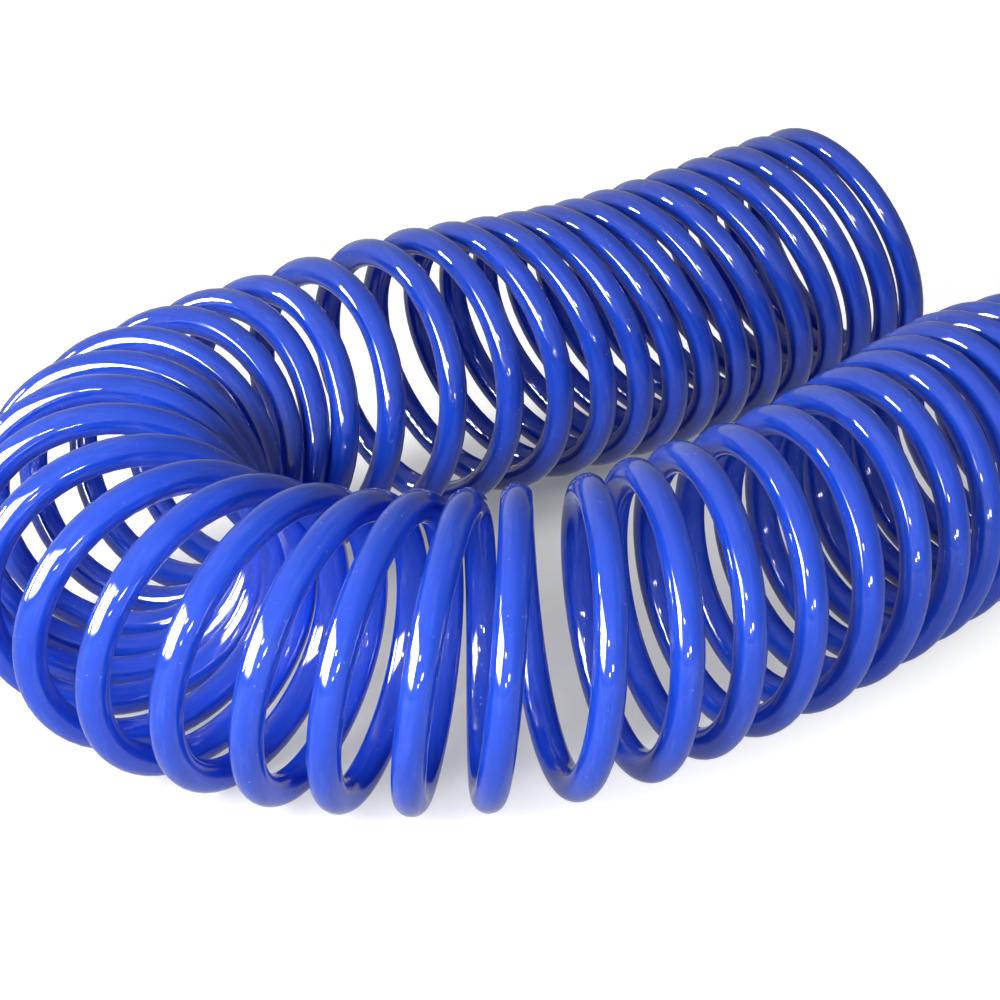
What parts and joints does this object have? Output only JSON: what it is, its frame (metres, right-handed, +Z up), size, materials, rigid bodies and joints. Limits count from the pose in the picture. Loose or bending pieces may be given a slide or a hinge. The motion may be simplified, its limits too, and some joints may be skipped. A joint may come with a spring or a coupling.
{
  "type": "coiled air hose",
  "caption": "Coiled air hose lying in a U, with a swivel plug at one end and a swivel quick coupler with a spring sleeve, lock balls and valve at the other.",
  "frame": {"origin": "bottom centre of the whole part's box, on the floor that the coil lies on", "axes": "+Z up; +X along the two arms of the U, from the bend towards the fittings; +Y from the coupler's arm to the plug's arm"},
  "size_m": [0.7513, 0.3568, 0.1287],
  "materials": {
    "hose": "very glossy blue polyurethane",
    "spring_steel": "bright drawn spring wire",
    "nickel": "nickel-plated turned brass",
    "brass": "turned brass, satin",
    "rubber": "black nitrile rubber",
    "hard_steel": "zinc-plated hardened steel, turned"
  },
  "bodies": {
    "root": {"hose_coil": "hose", "plug_tail": "hose", "coupler_tail": "hose", "plug_hose_end": "hose", "coupler_hose_end": "hose", "plug_spring_guard": "spring_steel", "coupler_spring_guard": "spring_steel", "plug_clamp_nut": "nickel", "coupler_clamp_nut": "nickel", "plug_hose_stem": "brass", "coupler_hose_stem": "brass", "plug_swivel_seal": "rubber", "coupler_swivel_seal": "rubber", "plug_swivel_clip": "spring_steel", "coupler_swivel_clip": "spring_steel"},
    "plug_head": {"plug_swivel_body": "nickel", "plug_gasket": "rubber", "plug_nipple": "hard_steel"},
    "coupler_head": {"coupler_swivel_body": "nickel", "coupler_gasket": "rubber", "coupler_adaptor": "nickel", "body_gasket": "rubber", "coupler_body": "nickel", "sleeve_clip": "spring_steel", "mouth_seal": "rubber", "sleeve_spring": "spring_steel", "valve_spring": "spring_steel"},
    "sleeve": {"sleeve": "hard_steel"},
    "valve": {"valve_poppet": "brass", "valve_seal": "rubber"},
    "ball_1": {"lock_ball_1": "hard_steel"},
    "ball_2": {"lock_ball_2": "hard_steel"},
    "ball_3": {"lock_ball_3": "hard_steel"},
    "ball_4": {"lock_ball_4": "hard_steel"}
  },
  "joints": [
    {"name": "plug_swivel", "type": "hinge", "parent": "root", "child": "plug_head", "pos_m": [0.317, 0.008, 0.011], "axis": [1, 0, 0], "continuous": true},
    {"name": "coupler_swivel", "type": "hinge", "parent": "root", "child": "coupler_head", "pos_m": [0.306, -0.165, 0.0135], "axis": [1, 0, 0], "continuous": true},
    {"name": "sleeve_slide", "type": "slide", "parent": "coupler_head", "child": "sleeve", "axis": [-1, 0, 0], "range_m": [0, 0.006], "stiffness_N_per_m": 1200, "springref_m": -0.006, "deforming": ["sleeve_spring"]},
    {"name": "valve_slide", "type": "slide", "parent": "coupler_head", "child": "valve", "axis": [-1, 0, 0], "range_m": [0, 0.005], "stiffness_N_per_m": 800, "springref_m": -0.005, "deforming": ["valve_spring"]},
    {"name": "ball_1_slide", "type": "slide", "parent": "coupler_head", "child": "ball_1", "axis": [0, 0.7071, -0.7071], "range_m": [0, 0.00095]},
    {"name": "ball_2_slide", "type": "slide", "parent": "coupler_head", "child": "ball_2", "axis": [0, 0.7071, 0.7071], "range_m": [0, 0.00095]},
    {"name": "ball_3_slide", "type": "slide", "parent": "coupler_head", "child": "ball_3", "axis": [0, -0.7071, 0.7071], "range_m": [0, 0.00095]},
    {"name": "ball_4_slide", "type": "slide", "parent": "coupler_head", "child": "ball_4", "axis": [0, -0.7071, -0.7071], "range_m": [0, 0.00095]}
  ],
  "couplings": [
    {"joint": "ball_1_slide", "follows": "sleeve_slide", "ratio": 0.158},
    {"joint": "ball_2_slide", "follows": "sleeve_slide", "ratio": 0.158},
    {"joint": "ball_3_slide", "follows": "sleeve_slide", "ratio": 0.158},
    {"joint": "ball_4_slide", "follows": "sleeve_slide", "ratio": 0.158}
  ]
}
